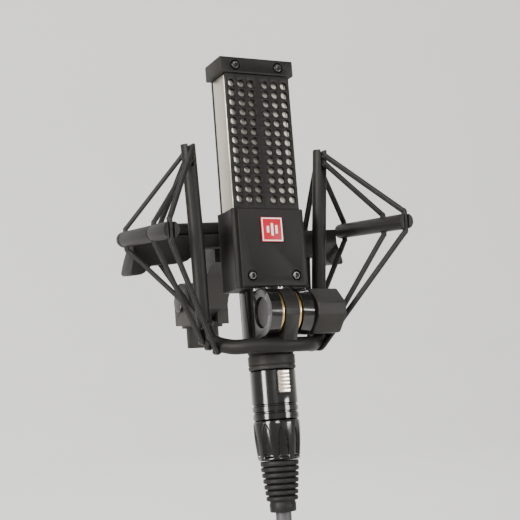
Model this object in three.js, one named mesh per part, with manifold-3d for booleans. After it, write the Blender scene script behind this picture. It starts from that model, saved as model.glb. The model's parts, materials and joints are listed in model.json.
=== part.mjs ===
// A side-address ribbon microphone in its elastic suspension mount, with the lead plugged in.
// Millimetres, +Z up, front faces -Y. The origin is the middle of the stand socket's lower face.
import * as THREE from 'three';
import { mergeVertices } from 'three/addons/utils/BufferGeometryUtils.js';
import Module from 'manifold-3d';

const wasm = await Module();
wasm.setup();

// ---------- driving dimensions ----------
const GAP = 0.3;                       // air left between pieces that touch
const ROD = 3.05;                      // radius of the mount's round rods

// outer frame and stand swivel
const RAIL_X = 52.4;
const RAIL_Z = 49.5;
const RAIL_FRONT = -99.9;
const RAIL_REAR = -45.5;
const RAIL_R = 3.3;
const RAIL_HOLES = [-81.7, -48.5];      // upright holes that the strands are pressed into
const HINGE_Z = 21.4;                  // stand hinge axis runs along X through (0, 0, HINGE_Z)
const BEAM_FRONT = -48;
const BEAM_REAR = -36;
const BARREL_R = 9.25;

// inner cradle, hung between the rails
const CRADLE_AT = [0, -67.2, RAIL_Z];
const CRADLE_ROLL = 2.5;
const CRADLE_LEAN = 1.95;
const POST_TOP = [31, 35.7];           // half spacing and height of the post tops
const SLOT_DEPTH = 9.4;                // slot in each post top that the strands go through
const BAR_AT = [25.9, -47.9];          // half spacing and height of the bar's corners
const BAR_BOW = 17.2;                  // how far the bar bulges forward of the posts
const MIC_X = 2.3;                     // the microphone hangs a little right of the middle
const TILT_Y = -13.9;                  // tilt axis in the cradle
const TILT_Z = -34.7;
const LUG_R = 9.7;
const LUG_HALF = 3;

// microphone, measured from the underside of its top cap
const MIC_LEAN = 4.73;
const CAP = [34.4, 15.9, 6.8];
const HEAD_W = 30;
const HEAD_D = 15;
const HEAD_H = 58.6;
const PLATE_T = 1.6;
const BLOCK_W = 33.6;
const BLOCK_D = 16.1;
const BLOCK_END = 92.2;
const COLUMN_PITCH = 4.5;
const CENTRE_PITCH = 6.72;
const ROW_PITCH = 4.16;
const ROWS = 13;
const HOLE_R = 1.55;
const STEM_R = 11.4;
const STEM_END = 113;
const COLLAR_R = 9.85;
const COLLAR_END = 125.5;
const AXIS_Y = -13.4;                  // tilt axis in the microphone's own frame
const AXIS_Z = -103.1;

// plug and lead
const PLUG_R = 9.5;
const CABLE_R = 3.25;
const BOOT_LENGTH = 20.6;
const COIL_INNER = 30.95;              // the coil holds 12 turns, four wide and three deep
const COIL_OUTER = 50.45;
const COIL_WIDTH = 26;
const COIL_AT = [-2.9, -71.25, -197.4];

// ---------- materials ----------
function paint(colour, roughness, metalness) {
  return new THREE.MeshStandardMaterial({ color: colour, roughness, metalness });
}
const mattBlack = paint(0x18181a, 0.55, 0.2);
const glossBlack = paint(0x0b0b0d, 0.12, 0.3);
const rodBlack = paint(0x1c1c1f, 0.6, 0.1);
const castBlack = paint(0x202022, 0.65, 0.1);
const brushed = paint(0xcfcabd, 0.32, 1);
const meshSilver = paint(0xc9c3b4, 0.35, 1);
const brass = paint(0xb08a48, 0.3, 1);
const steel = paint(0x9a9a9c, 0.3, 1);
const rubber = paint(0x141414, 0.85, 0);
const cord = paint(0x17171a, 0.9, 0);
const red = paint(0xb5142c, 0.35, 0);
const magnet = paint(0x55565a, 0.4, 1);
const foil = paint(0xd8d8d4, 0.4, 1);
const insert = paint(0x101012, 0.5, 0);
const greyLead = paint(0x4a4b50, 0.6, 0);

// ---------- helpers ----------
function clean(geometry) {
  geometry.deleteAttribute('normal');
  geometry.deleteAttribute('uv');
  return mergeVertices(geometry, 1e-4);
}
function solid(geometry) {
  const g = clean(geometry);
  return new wasm.Manifold(new wasm.Mesh({
    numProp: 3,
    vertProperties: new Float32Array(g.attributes.position.array),
    triVerts: new Uint32Array(g.index.array),
  }));
}
function geometryOf(manifold) {
  const mesh = manifold.getMesh();
  const g = new THREE.BufferGeometry();
  g.setAttribute('position', new THREE.BufferAttribute(new Float32Array(mesh.vertProperties), 3));
  g.setIndex(new THREE.BufferAttribute(new Uint32Array(mesh.triVerts), 1));
  return g;
}
function piece(name, shape, material) {
  const g = shape.isBufferGeometry ? clean(shape) : geometryOf(shape);
  const mesh = new THREE.Mesh(g, material);
  mesh.name = name;
  return mesh;
}
function box(size, centre) {
  return new THREE.BoxGeometry(...size).translate(...centre);
}
function rodZ(radius, bottom, top, x = 0, y = 0, sides = 24) {
  const g = new THREE.CylinderGeometry(radius, radius, top - bottom, sides);
  return g.rotateX(Math.PI / 2).translate(x, y, (top + bottom) / 2);
}
function rodX(radius, low, high, y, z, sides = 24) {
  const g = new THREE.CylinderGeometry(radius, radius, high - low, sides);
  return g.rotateZ(Math.PI / 2).translate((low + high) / 2, y, z);
}
function rodY(radius, from, to, x, z, sides = 24) {
  const g = new THREE.CylinderGeometry(radius, radius, Math.abs(to - from), sides);
  return g.translate(x, (from + to) / 2, z);
}
function turned(profile, sides = 24) {
  const points = profile.map(([r, z]) => new THREE.Vector2(r, z));
  return new THREE.LatheGeometry(points, sides).rotateX(Math.PI / 2);
}
function outline(points) {
  return new THREE.Shape(points.map(([a, b]) => new THREE.Vector2(a, b)));
}
function slab(shape, thickness) {
  return new THREE.ExtrudeGeometry(shape, { depth: thickness, bevelEnabled: false, curveSegments: 10 });
}
// a profile drawn in X-Z and extruded along Y from y0
function slabY(points, y0, thickness) {
  return slab(outline(points), thickness).rotateX(Math.PI / 2).translate(0, y0 + thickness, 0);
}
// a profile drawn in Y-Z and extruded along X from x0
function slabX(points, x0, thickness) {
  return slab(outline(points), thickness).rotateY(Math.PI / 2).rotateX(Math.PI / 2).translate(x0, 0, 0);
}
function ringShape(radius, sides) {
  const points = [];
  for (let i = 0; i < sides; i += 1) {
    const a = (i / sides) * 2 * Math.PI;
    points.push([radius * Math.cos(a), radius * Math.sin(a)]);
  }
  return outline(points);
}
function tube(points, radius, sides, steps) {
  const given = points instanceof THREE.Curve;
  const path = given ? points : new THREE.CatmullRomCurve3(points.map((p) => new THREE.Vector3(...p)));
  const options = { steps, extrudePath: path, bevelEnabled: false };
  return new THREE.ExtrudeGeometry(ringShape(radius, sides), options);
}
function arcPoints(cx, cy, radius, from, to, steps) {
  const points = [];
  for (let i = 0; i <= steps; i += 1) {
    const a = THREE.MathUtils.degToRad(from + ((to - from) * i) / steps);
    points.push([cx + radius * Math.cos(a), cy + radius * Math.sin(a)]);
  }
  return points;
}

// ---------- stand socket, hinge bolt, swivel arm ----------
function standAdapter() {
  const socket = solid(rodZ(7.6, 0, 9.5)).add(solid(rodZ(9.6, 9.3, 11.8)));
  const ears = [4.3, -9.8].map((x0) => {
    const plate = [...arcPoints(0, HINGE_Z, BARREL_R, 0, 180, 12), [-BARREL_R, 10.5], [BARREL_R, 10.5]];
    return solid(slabX(plate, x0, 5.5));
  });
  return socket.add(ears[0]).add(ears[1])
    .subtract(solid(rodZ(4.75, -1, 8.5)))
    .subtract(solid(rodX(2.8, -12, 12, 0, HINGE_Z)));
}
function swivelBolt() {
  return solid(rodX(2.4, -11, 11, 0, HINGE_Z, 16))
    .add(solid(rodX(4.2, -12.2, -10.1, 0, HINGE_Z, 16)))
    .add(solid(rodX(4.2, 10.1, 12.6, 0, HINGE_Z, 6)));
}
function swivelArm() {
  const web = [
    [BEAM_REAR + GAP, 50.3], [-24, 50.3], [-17, 46], [-10.2, 33],
    [-9.9, 24.8], [-12.9, 17.8], [-25, 33], [BEAM_REAR + GAP, 38.6],
  ];
  const neck = [[-11, 31.5], [0, HINGE_Z + BARREL_R], [0, HINGE_Z - BARREL_R], [-11, 17]];
  return solid(slabX(web, -7, 14))
    .add(solid(slabX(neck, -3.9, 7.8)))
    .add(solid(rodX(BARREL_R, -3.9, 3.9, 0, HINGE_Z)))
    .subtract(solid(rodX(2.8, -12, 12, 0, HINGE_Z, 16)));
}

// ---------- cross beam and rails ----------
function crossBeam() {
  const half = RAIL_X - RAIL_R - GAP;
  const right = [
    [17, 44.4], [24, 39.4], [30, 38.3], [40, 38.3], [43, 37.2], [45.5, 34.6], [half, 34.6],
    [half, 50.4],
  ];
  const left = right.map(([x, z]) => [-x, z]).reverse();
  return solid(slabY([...right, ...left], BEAM_FRONT, BEAM_REAR - BEAM_FRONT))
    .add(solid(rodX(2.9, -30.5, 30.5, BEAM_FRONT + 3.2, 52.8, 16)))
    .subtract(solid(rodZ(1.7, 30, 60, 36, -42, 12)))
    .subtract(solid(rodZ(1.7, 30, 60, -36, -42, 12)));
}
function rail(s) {
  const x = s * RAIL_X;
  const slot = box([2.7, 4.6, 9], [x, RAIL_FRONT + 1, RAIL_Z]);
  let body = solid(rodY(RAIL_R, RAIL_FRONT, RAIL_REAR, x, RAIL_Z, 20)).subtract(solid(slot));
  const mouth = RAIL_R + 1;
  for (const y of RAIL_HOLES) {
    body = body.subtract(solid(rodZ(1.6, RAIL_Z - 5, RAIL_Z + 5, x, y, 12)));
    body = body.subtract(solid(box([mouth, 0.7, 9], [x + (s * mouth) / 2, y, RAIL_Z])));
  }
  return body;
}

// ---------- cradle: two posts and a bowed bar with the tilt lug ----------
function cradleFrame() {
  const [topX, topZ] = POST_TOP;
  const [barX, barZ] = BAR_AT;
  const rise = 12;
  const reach = 7;
  const side = (s) => [
    [s * topX, 0, topZ],
    [s * (topX + barX) / 2, 0, (topZ + barZ) / 2],
    [s * (barX + 0.85), 0, barZ + rise],
    [s * (barX - 1.1), -2.2, barZ + 3.2],
    [s * (barX - reach), -8, barZ],
  ];
  const bowed = [[MIC_X + 3.4, -BAR_BOW, barZ], [MIC_X - 5, -BAR_BOW, barZ]];
  const middle = [[13, -14.6, barZ], ...bowed, [-12, -13.8, barZ]];
  const points = [...side(1), ...middle, ...side(-1).reverse()];
  let body = solid(tube(points, ROD, 10, 40));
  const lug = [
    ...arcPoints(TILT_Y, TILT_Z, LUG_R, -12, 192, 14),
    [-BAR_BOW - 2.4, barZ + 0.8], [-BAR_BOW + 2.8, barZ + 0.8],
  ];
  body = body.add(solid(slabX(lug, MIC_X - LUG_HALF, 2 * LUG_HALF)));
  body = body.subtract(solid(rodX(2.9, MIC_X - 8, MIC_X + 8, TILT_Y, TILT_Z, 16)));
  for (const s of [-1, 1]) {
    body = body.subtract(solid(box([2.4, 9, 2 * SLOT_DEPTH], [s * topX, 0, topZ])));
  }
  return body;
}
function washer(x0) {
  const profile = [[3.1, 0], [8.9, 0], [8.9, 1.2], [3.1, 1.2], [3.1, 0]];
  return turned(profile, 24).rotateY(Math.PI / 2).translate(MIC_X + x0, TILT_Y, TILT_Z);
}

// ---------- microphone shell ----------
function topCap() {
  const [w, d, h] = CAP;
  let body = solid(box([w, d, h], [0, 0, h / 2]));
  body = body.subtract(solid(box([HEAD_W - 4, HEAD_D - 4, 6], [0, 0, 1])));
  for (const s of [-1, 1]) {
    for (const x of [-10.1, 10.1]) {
      body = body.subtract(solid(rodY(2.1, s * d / 2 - 1.3, s * d / 2 + 1.3, x, h / 2, 12)));
    }
  }
  return body;
}
function grille(face) {
  const foot = -HEAD_H + GAP;
  const shape = outline([[-HEAD_W / 2, 0], [-HEAD_W / 2, foot], [HEAD_W / 2, foot], [HEAD_W / 2, 0]]);
  for (let row = 0; row < ROWS; row += 1) {
    for (let column = 0; column < 6; column += 1) {
      const half = (CENTRE_PITCH - COLUMN_PITCH) / 2;
      const x = (column - 2.5) * COLUMN_PITCH + (column > 2 ? half : -half);
      const hole = new THREE.Path();
      const z = -4.5 - row * ROW_PITCH;
      for (let i = 0; i < 6; i += 1) {
        const a = (-i / 6) * 2 * Math.PI;
        const p = [x + HOLE_R * Math.cos(a), z + HOLE_R * Math.sin(a)];
        if (i === 0) {
          hole.moveTo(...p);
        } else {
          hole.lineTo(...p);
        }
      }
      hole.closePath();
      shape.holes.push(hole);
    }
  }
  const y0 = face < 0 ? -HEAD_D / 2 : HEAD_D / 2 - PLATE_T;
  return slab(shape, PLATE_T).rotateX(Math.PI / 2).translate(0, y0 + PLATE_T, -GAP);
}
function sidePanel(s) {
  const depth = HEAD_D - 2 * PLATE_T - 2 * GAP;
  return box([1.5, depth, HEAD_H - 2 * GAP], [s * (HEAD_W / 2 - 0.75), 0, -HEAD_H / 2]);
}
function meshSheet(s) {
  const w = HEAD_W - 4;
  const points = [];
  const steps = 8;
  const near = HEAD_D / 2 - PLATE_T - GAP;
  const dish = (x) => near - 0.3 - 1.1 * (1 - (2 * x / w) ** 2);
  for (let i = 0; i <= steps; i += 1) {
    const x = -w / 2 + (w * i) / steps;
    points.push([x, dish(x)]);
  }
  for (let i = steps; i >= 0; i -= 1) {
    const x = -w / 2 + (w * i) / steps;
    points.push([x, dish(x) - 0.6]);
  }
  const g = slab(outline(points.map(([x, y]) => [x, s * y])), HEAD_H - 2);
  return g.translate(0, 0, -HEAD_H + 1);
}
function lowerBlock() {
  const w = BLOCK_W / 2;
  const d = BLOCK_D / 2;
  const flute = 0.8;
  const side = (s) => {
    const points = [];
    for (let i = 0; i <= 8; i += 1) {
      const t = (i / 8) * 2 - 1;
      points.push([s * (w - flute * (1 - t * t)), t * (d - 1.2)]);
    }
    return points;
  };
  const profile = [
    [w - 1, -d], ...side(1), [w - 1, d], [-w + 1, d], ...side(-1).reverse(), [-w + 1, -d],
  ];
  const height = BLOCK_END - HEAD_H;
  let body = solid(slab(outline(profile), height).translate(0, 0, -BLOCK_END));
  body = body.subtract(solid(box([26, 11.4, height - 2], [0, 0, -HEAD_H - height / 2 + 1.2])));
  body = body.subtract(solid(rodZ(2.2, -BLOCK_END - 1, -BLOCK_END + 5, 0, 3.4, 12)));
  for (const s of [-1, 1]) {
    for (const x of [-10.2, 10.2]) {
      body = body.subtract(solid(rodY(1.6, s * (d - 1.6), s * (d + 1), x, -87.2, 10)));
    }
  }
  return body;
}
function blockPlate(s) {
  const height = BLOCK_END - HEAD_H;
  const y = s * (BLOCK_D / 2 + GAP + 0.5);
  let body = solid(box([HEAD_W - 0.4, 1, height - 1], [0, y, -HEAD_H - height / 2]));
  for (const x of [-10.2, 10.2]) {
    body = body.subtract(solid(rodY(2.1, y - 2, y + 2, x, -87.2, 12)));
  }
  return body;
}
function emblem() {
  return box([9.9, 0.5, 10.4], [0, -(BLOCK_D / 2 + 2 * GAP + 1.25), -68]);
}
function screw(x, y, z, s, length) {
  const head = solid(rodY(1.7, y, y + s * 1.2, x, z, 12));
  const socket = solid(rodY(0.8, y + s * 0.5, y + s * 3, x, z, 6));
  const shank = length > 0 ? solid(rodY(1.2, y + s * 0.1, y - s * length, x, z, 10)) : null;
  return (shank ? head.add(shank) : head).subtract(socket);
}

// ---------- ribbon motor and transformer ----------
function poleMagnet(s) {
  return box([6.5, 6, 46], [s * 6.3, 0, -29.5]);
}
function motorFrame() {
  const outer = solid(box([24.6, 6.8, 55], [0, 0, -29]));
  return outer.subtract(solid(box([20.4, 9, 47], [0, 0, -29.5])));
}
function ribbonClamp(z) {
  return box([5, 1.2, 2.4], [0, -1.1, z]);
}
function ribbon() {
  const points = [];
  const folds = 18;
  const length = 44;
  for (let i = 0; i <= folds * 2; i += 1) {
    points.push([(i % 2 ? 0.28 : -0.28), -7.5 - (length * i) / (folds * 2)]);
  }
  const back = points.map(([y, z]) => [y + 0.12, z]).reverse();
  return slabX([...points, ...back], -2.2, 4.4);
}
function transformer() {
  const core = solid(box([18, 8.4, 20], [0, 0, -75]));
  const left = solid(box([3, 10, 12], [-4.6, 0, -75]));
  const right = solid(box([3, 10, 12], [4.6, 0, -75]));
  return core.subtract(left).subtract(right);
}

// ---------- stem with the tilt clevis, collar and output socket ----------
function stem() {
  let body = solid(rodZ(STEM_R, -STEM_END, -BLOCK_END - GAP, 0, 0, 28));
  for (const x0 of [-9.6, 4.8]) {
    const ear = [
      ...arcPoints(AXIS_Y, AXIS_Z, LUG_R, 90, 270, 12), [-4, AXIS_Z - LUG_R], [-4, AXIS_Z + LUG_R],
    ];
    body = body.add(solid(slabX(ear, x0, 4.8)));
  }
  body = body.subtract(solid(rodX(LUG_R + 0.5, -4.8, 4.8, AXIS_Y, AXIS_Z, 24)));
  const slotBack = AXIS_Y + LUG_R + 0.5;
  body = body.subtract(solid(box([9.6, 20, 12], [0, slotBack - 10, AXIS_Z - 6])));
  body = body.subtract(solid(rodX(2.9, -12, 12, AXIS_Y, AXIS_Z, 12)));
  body = body.subtract(solid(rodX(6.4, -11, -7, AXIS_Y, AXIS_Z, 20)));
  return body.subtract(solid(rodZ(2.2, -STEM_END - 1, -BLOCK_END + 1, 0, 4.6, 12)));
}
function tiltBolt() {
  return solid(rodX(6, -8.3, -7 - GAP, AXIS_Y, AXIS_Z, 20))
    .add(solid(rodX(2.5, -8, 15, AXIS_Y, AXIS_Z, 12)));
}
function thumbKnob() {
  const half = 9.2;
  const cut = 2.6;
  const points = [
    [-half, -cut], [-cut, -half], [cut, -half], [half, -cut],
    [half, cut], [cut, half], [-cut, half], [-half, cut],
  ].map(([y, z]) => [AXIS_Y + y, AXIS_Z + z]);
  const start = 11.9;
  return solid(slabX(points, start, 13.2))
    .subtract(solid(rodX(2.9, start - 1, 15.6, AXIS_Y, AXIS_Z, 12)));
}
function collar() {
  const inner = 8.25;
  const groove = COLLAR_R - 0.5;
  return turned([
    [inner, -COLLAR_END], [COLLAR_R, -COLLAR_END], [COLLAR_R, -119.6], [groove, -119.3], [groove, -118.9],
    [COLLAR_R, -118.6], [COLLAR_R, -STEM_END - GAP], [inner, -STEM_END - GAP], [inner, -COLLAR_END],
  ], 20);
}
function socketInsert() {
  let body = solid(rodZ(7.9, -STEM_END - 3.2, -STEM_END - GAP, 0, 0, 20));
  body = body.subtract(solid(rodZ(1.6, -STEM_END - 5, -STEM_END + 1, 0, 4.6, 10)));
  for (const [x, y] of pinPlaces()) {
    body = body.add(solid(rodZ(1.2, -123.6, -STEM_END - 3, x, y, 8)));
  }
  return body;
}

// ---------- plug ----------
function plugShell() {
  const top = -COLLAR_END - GAP;
  return solid(turned([
    [7, -146], [PLUG_R, -146], [PLUG_R, -143.4], [9, -143.1], [9, -142.7], [PLUG_R, -142.4],
    [PLUG_R, -140.4], [9, -140.1], [9, -139.7], [PLUG_R, -139.4], [PLUG_R, top], [7.95, top],
    [7.95, -117.2], [7, -117.2], [7, -146],
  ], 20)).subtract(solid(box([5.4, 6, 9.8], [0, -PLUG_R - 0.1, -130.9])));
}
function pinPlaces() {
  return [-90, 30, 150].map((a) => {
    const r = THREE.MathUtils.degToRad(a);
    return [3.6 * Math.cos(r), 3.6 * Math.sin(r)];
  });
}
function latch() {
  let body = solid(box([4.8, 2, 9], [0, -PLUG_R + 0.25, -130.9]));
  for (let i = 0; i < 4; i += 1) {
    body = body.subtract(solid(box([6, 0.8, 0.7], [0, -PLUG_R - 0.75, -134 + i * 2.1])));
  }
  return body;
}
function plugInsert() {
  let body = solid(rodZ(6.7, -140, -117.4, 0, 0, 16));
  for (const [x, y] of pinPlaces()) {
    body = body.subtract(solid(rodZ(1.55, -131, -117, x, y, 8)));
  }
  return body;
}
function chuck(top) {
  const flutes = 8;
  let body = solid(turned([
    [4.2, top - 16.4], [8.6, top - 16.4], [9.1, top - 13], [9.75, top - 2.4], [9.4, top - 0.3],
    [4.2, top - 0.3], [4.2, top - 16.4],
  ], 20));
  for (let i = 0; i < flutes; i += 1) {
    const cutter = new THREE.SphereGeometry(1, 6, 4).scale(2.3, 1.5, 6.5);
    cutter.translate(0, -10.3, top - 8.6).rotateZ((i / flutes) * 2 * Math.PI);
    body = body.subtract(solid(cutter));
  }
  return body;
}
function boot(top) {
  const end = top - BOOT_LENGTH;
  const profile = [[3.6, end], [5.4, end], [5.5, end + 3.8]];
  const rings = 5;
  for (let i = 0; i < rings; i += 1) {
    const r = 6.6 + (i * 1.2) / (rings - 1);
    const z = top - 16.4 + i * 3;
    profile.push([r - 0.9, z], [r, z + 0.8], [r, z + 2.1]);
  }
  profile.push([7.8, top - 1.4], [7.8, top], [3.6, top], [3.6, end]);
  return turned(profile, 14);
}

// ---------- elastic suspension ----------
const cradle = new THREE.Group();
cradle.position.set(...CRADLE_AT);
cradle.rotation.set(THREE.MathUtils.degToRad(-CRADLE_LEAN), THREE.MathUtils.degToRad(CRADLE_ROLL), 0, 'YXZ');
cradle.updateMatrixWorld(true);

function inWorld(point) {
  return new THREE.Vector3(...point).applyMatrix4(cradle.matrixWorld).toArray();
}
// each strand runs from the slot in a post top, through the outer frame, to the bar's corner: two leave
// the slot forwards, for the rail's front slot and front hole, and two backwards, for its rear hole and
// for the cross beam
function elastic(s, index) {
  const ahead = index < 2 ? -1 : 1;
  const below = index % 2 ? 5.9 : 2.3;
  const top = inWorld([s * POST_TOP[0], ahead * (ROD + 1.9), POST_TOP[1] - below]);
  const aside = (index - 1.5) * 2.5 - 1;
  const foot = inWorld([s * (BAR_AT[0] + 4.6), aside, BAR_AT[1] + 1.5]);
  const turns = [
    [RAIL_X, RAIL_FRONT + 1.6, RAIL_Z],
    [RAIL_X, RAIL_HOLES[0], RAIL_Z],
    [RAIL_X, RAIL_HOLES[1], RAIL_Z],
    [36, -42, 45],
  ];
  const rise = index === 3 ? 9.5 : RAIL_R + 1.6;
  const [x, y, z] = turns[index];
  const upright = [rise, 2, -2, -rise].map((dz) => [s * x, y, z + dz]);
  const path = [];
  for (const [from, to] of [[top, upright[0]], [upright[3], foot]]) {
    const straight = [0, 0.1, 0.5, 0.9, 1].map((t) => from.map((v, k) => v + (to[k] - v) * t));
    path.push(...straight, ...(from === top ? [upright[1], upright[2]] : []));
  }
  const points = path.map((p) => new THREE.Vector3(...p));
  return tube(new THREE.CatmullRomCurve3(points, false, 'centripetal'), 1, 6, 28);
}

// ---------- lead ----------
// straight out of the boot, then bending into the outer layer of the hanging coil
const LEAD = [
  [-2.75, -78.4, -66.5], [-3, -79, -72], [-3.2, -79.6, -77], [-3.45, -80.2, -82],
  [-3.05, -80.75, -92], [-1.75, -80.95, -102], [0.45, -81, -112], [3.5, -81, -121.7],
  [7.4, -81, -131], [12, -81, -140], [15.7, -81, -145.9],
];
// out of the coil's inner layer, straight down behind its rear face to the far plug
const TAIL = [-206, -216, -226, -236, -246].map((z) => [31.3, -54.7, z]);

function cableCoil() {
  const half = COIL_WIDTH / 2;
  const near = [[COIL_INNER, -half], [COIL_OUTER, -half]];
  const section = [...near, [COIL_OUTER, half], [COIL_INNER, half], [COIL_INNER, -half]];
  return turned(section, 32).rotateX(Math.PI / 2).translate(...COIL_AT);
}
function coilTie() {
  const strap = 1.4;
  const low = COIL_INNER - 1.4;
  const high = COIL_OUTER + GAP;
  const centre = [0, 0, (low + high) / 2];
  const inside = [18, COIL_WIDTH + 2 * GAP, high - low];
  const around = [16, inside[1] + 2 * strap, inside[2] + 2 * strap];
  return solid(box(around, centre)).subtract(solid(box(inside, centre)))
    .rotate([0, 70, 0]).translate(COIL_AT);
}
// chuck and shell of the plug on the lead's far end, hanging mouth down from top
function farPlug(x, y, top) {
  const shell = top - 16.2;
  const floor = top - 20.3;
  const mouth = top - 37;
  let body = solid(turned([
    [0, floor], [8, floor], [8, mouth], [PLUG_R, mouth], [PLUG_R, shell], [9.1, top - 3],
    [8.6, top], [4.2, top], [4.2, shell], [0, shell],
  ], 20));
  for (const [px, py] of pinPlaces()) {
    body = body.add(solid(rodZ(1.2, mouth + 3, floor + 0.1, px, py, 8)));
  }
  return body.translate([x, y, 0]);
}

// ---------- assembly ----------
const group = new THREE.Group();
group.add(piece('stand_adapter', standAdapter(), castBlack));
group.add(piece('swivel_bolt', swivelBolt(), steel));
group.add(piece('swivel_arm', swivelArm(), castBlack));
group.add(piece('cross_beam', crossBeam(), castBlack));
group.add(piece('rail_left', rail(-1), rodBlack));
group.add(piece('rail_right', rail(1), rodBlack));
for (const [side, s] of [['left', -1], ['right', 1]]) {
  for (let i = 0; i < 4; i += 1) {
    group.add(piece(`elastic_${side}_${i + 1}`, elastic(s, i), cord));
  }
}

cradle.add(piece('cradle_frame', cradleFrame(), rodBlack));
cradle.add(piece('washer_left', washer(-4.5), brass));
cradle.add(piece('washer_right', washer(3.3), brass));

const mic = new THREE.Group();
mic.position.set(MIC_X, 7.93, 66.98);
mic.rotation.x = THREE.MathUtils.degToRad(-MIC_LEAN);
mic.add(piece('top_cap', topCap(), mattBlack));
mic.add(piece('front_grille', grille(-1), mattBlack));
mic.add(piece('rear_grille', grille(1), mattBlack));
mic.add(piece('side_panel_left', sidePanel(-1), brushed));
mic.add(piece('side_panel_right', sidePanel(1), brushed));
mic.add(piece('front_mesh', meshSheet(-1), meshSilver));
mic.add(piece('rear_mesh', meshSheet(1), meshSilver));
mic.add(piece('lower_block', lowerBlock(), mattBlack));
mic.add(piece('block_plate_front', blockPlate(-1), mattBlack));
mic.add(piece('block_plate_rear', blockPlate(1), mattBlack));
mic.add(piece('emblem', emblem(), red));
for (const [side, s] of [['front', -1], ['rear', 1]]) {
  for (const [hand, x] of [['left', -10.1], ['right', 10.1]]) {
    mic.add(piece(`cap_screw_${side}_${hand}`, screw(x, s * (CAP[1] / 2 - 1), CAP[2] / 2, s, 0), steel));
    mic.add(piece(`block_screw_${side}_${hand}`, screw(x, s * (BLOCK_D / 2 + 0.2), -87.2, s, 1), steel));
  }
}
mic.add(piece('magnet_left', poleMagnet(-1), magnet));
mic.add(piece('magnet_right', poleMagnet(1), magnet));
mic.add(piece('motor_frame', motorFrame(), steel));
mic.add(piece('ribbon', ribbon(), foil));
mic.add(piece('ribbon_clamp_top', ribbonClamp(-8.5), brass));
mic.add(piece('ribbon_clamp_bottom', ribbonClamp(-50.5), brass));
mic.add(piece('transformer', transformer(), magnet));
mic.add(piece('stem', stem(), glossBlack));
mic.add(piece('tilt_bolt', tiltBolt(), steel));
mic.add(piece('thumb_knob', thumbKnob(), castBlack));
mic.add(piece('collar', collar(), castBlack));
mic.add(piece('socket_insert', socketInsert(), insert));
mic.add(piece('plug_shell', plugShell(), glossBlack));
mic.add(piece('plug_insert', plugInsert(), insert));
mic.add(piece('latch_button', latch(), steel));
mic.add(piece('plug_chuck', chuck(-146), glossBlack));
mic.add(piece('plug_boot', boot(-163), rubber));
cradle.add(mic);
group.add(cradle);

group.add(piece('cable_run', tube(LEAD, CABLE_R, 10, 8), greyLead));
group.add(piece('cable_coil', cableCoil(), greyLead));
group.add(piece('cable_tail', tube(TAIL, CABLE_R, 10, 3), greyLead));
group.add(piece('coil_tie', coilTie(), rubber));
const [tailX, tailY, tailZ] = TAIL[TAIL.length - 1];
const farBoot = boot(BOOT_LENGTH - tailZ - 1).rotateX(Math.PI).translate(tailX, tailY, 0);
group.add(piece('far_boot', farBoot, rubber));
group.add(piece('far_plug', farPlug(tailX, tailY, tailZ + 1 - BOOT_LENGTH - GAP), glossBlack));

export default group;
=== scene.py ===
"""Looks of a ribbon microphone in its elastic suspension mount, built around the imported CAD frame."""

import json
import math

import bmesh
import bpy
from mathutils import Matrix, Vector


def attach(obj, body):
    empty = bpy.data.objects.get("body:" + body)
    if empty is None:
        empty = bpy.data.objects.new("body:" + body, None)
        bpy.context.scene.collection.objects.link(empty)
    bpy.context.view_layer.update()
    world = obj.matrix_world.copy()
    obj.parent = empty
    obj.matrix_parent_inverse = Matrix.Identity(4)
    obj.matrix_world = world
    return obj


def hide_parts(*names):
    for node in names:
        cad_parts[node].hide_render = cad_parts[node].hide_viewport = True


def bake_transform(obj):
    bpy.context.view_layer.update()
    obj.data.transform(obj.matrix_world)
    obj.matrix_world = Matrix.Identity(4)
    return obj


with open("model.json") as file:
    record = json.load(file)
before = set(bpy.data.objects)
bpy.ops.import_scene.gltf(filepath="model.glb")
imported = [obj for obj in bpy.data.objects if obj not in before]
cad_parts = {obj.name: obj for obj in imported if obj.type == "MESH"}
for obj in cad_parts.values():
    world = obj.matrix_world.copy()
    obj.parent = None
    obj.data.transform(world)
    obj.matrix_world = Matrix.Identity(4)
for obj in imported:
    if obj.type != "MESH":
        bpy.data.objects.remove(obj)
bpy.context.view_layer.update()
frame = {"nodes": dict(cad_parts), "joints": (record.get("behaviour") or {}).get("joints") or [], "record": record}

# Shapes are drawn in millimetres in a local frame; place() turns them into metres in the row frame.
MM = 0.001

# ---------- camera, at the photograph's viewing angle ----------
CAMERA_AT = (-0.2099, -0.4929, 0.02275)
CAMERA_YAW = 26.2
CAMERA_PITCH = 1.78
CAMERA_ROLL = -3.74
CAMERA_LENS = 78.2


def add_camera():
    data = bpy.data.cameras.new("camera")
    data.lens = CAMERA_LENS
    data.sensor_width = 36
    camera = bpy.data.objects.new("camera", data)
    yaw = Matrix.Rotation(math.radians(-CAMERA_YAW), 4, "Z")
    pitch = Matrix.Rotation(math.radians(90 + CAMERA_PITCH), 4, "X")
    roll = Matrix.Rotation(math.radians(CAMERA_ROLL), 4, "Z")
    camera.matrix_world = Matrix.Translation(CAMERA_AT) @ yaw @ pitch @ roll
    bpy.context.scene.collection.objects.link(camera)
    bpy.context.scene.camera = camera


add_camera()

# ---------- local frames ----------
joints = {j["name"]: j for j in frame["joints"]}


def axes_frame(x, z, at):
    x = Vector(x).normalized()
    z = Vector(z).normalized()
    y = z.cross(x).normalized()
    turn = Matrix((x, y, z)).transposed().to_4x4()
    return Matrix.Translation(Vector(at)) @ turn


def span(node, at):
    """Lowest and highest corner of a CAD node in a local frame, in millimetres."""
    back = at.inverted()
    points = [back @ v.co for v in frame["nodes"][node].data.vertices]
    low = Vector([min(p[i] for p in points) for i in range(3)])
    high = Vector([max(p[i] for p in points) for i in range(3)])
    return low / MM, high / MM


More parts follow.
